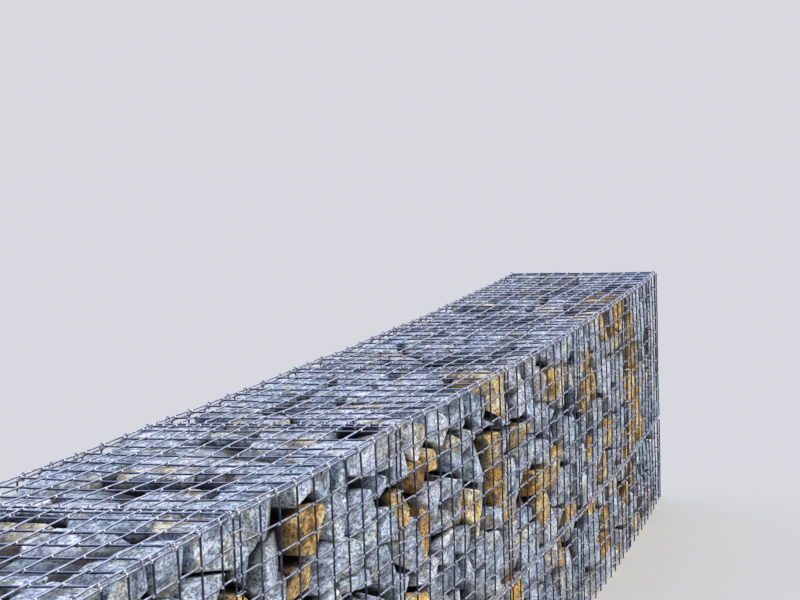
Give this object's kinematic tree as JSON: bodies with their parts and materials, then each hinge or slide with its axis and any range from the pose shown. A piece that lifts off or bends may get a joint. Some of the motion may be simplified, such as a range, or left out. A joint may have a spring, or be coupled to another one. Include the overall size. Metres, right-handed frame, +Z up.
{
  "type": "gabion wall",
  "caption": "Low garden wall of welded wire mesh baskets filled with broken stone, in two courses, in a gently bending row.",
  "frame": {"origin": "on the ground, at the middle of the first basket's base", "axes": "+X along the row away from its first basket, +Z up, the show side faces -Y"},
  "size_m": [5.9255, 0.6285, 0.8057],
  "materials": {
    "galvanised_mesh": "galvanised steel wire, dulled and slightly rusty at the welds",
    "closing_rings": "bright galvanised steel ring wire",
    "stone_fill": "quarried grey stone with rust-brown and ochre pieces"
  },
  "bodies": {
    "root": {"lid_1": "galvanised_mesh", "front_upper_1": "galvanised_mesh", "front_lower_1": "galvanised_mesh", "back_mesh_1": "galvanised_mesh", "stone_upper_1": "stone_fill", "stone_lower_1": "stone_fill", "lid_2": "galvanised_mesh", "front_upper_2": "galvanised_mesh", "front_lower_2": "galvanised_mesh", "back_mesh_2": "galvanised_mesh", "stone_upper_2": "stone_fill", "stone_lower_2": "stone_fill", "lid_3": "galvanised_mesh", "front_upper_3": "galvanised_mesh", "front_lower_3": "galvanised_mesh", "back_mesh_3": "galvanised_mesh", "stone_upper_3": "stone_fill", "stone_lower_3": "stone_fill", "lid_4": "galvanised_mesh", "front_upper_4": "galvanised_mesh", "front_lower_4": "galvanised_mesh", "back_mesh_4": "galvanised_mesh", "stone_upper_4": "stone_fill", "stone_lower_4": "stone_fill", "lid_5": "galvanised_mesh", "front_upper_5": "galvanised_mesh", "front_lower_5": "galvanised_mesh", "back_mesh_5": "galvanised_mesh", "stone_upper_5": "stone_fill", "stone_lower_5": "stone_fill", "lid_6": "galvanised_mesh", "front_upper_6": "galvanised_mesh", "front_lower_6": "galvanised_mesh", "back_mesh_6": "galvanised_mesh", "stone_upper_6": "stone_fill", "stone_lower_6": "stone_fill", "near_end": "galvanised_mesh", "far_end": "galvanised_mesh", "rings_front_top": "closing_rings", "rings_back_top": "closing_rings", "rings_lid_seams": "closing_rings"}
  },
  "joints": []
}
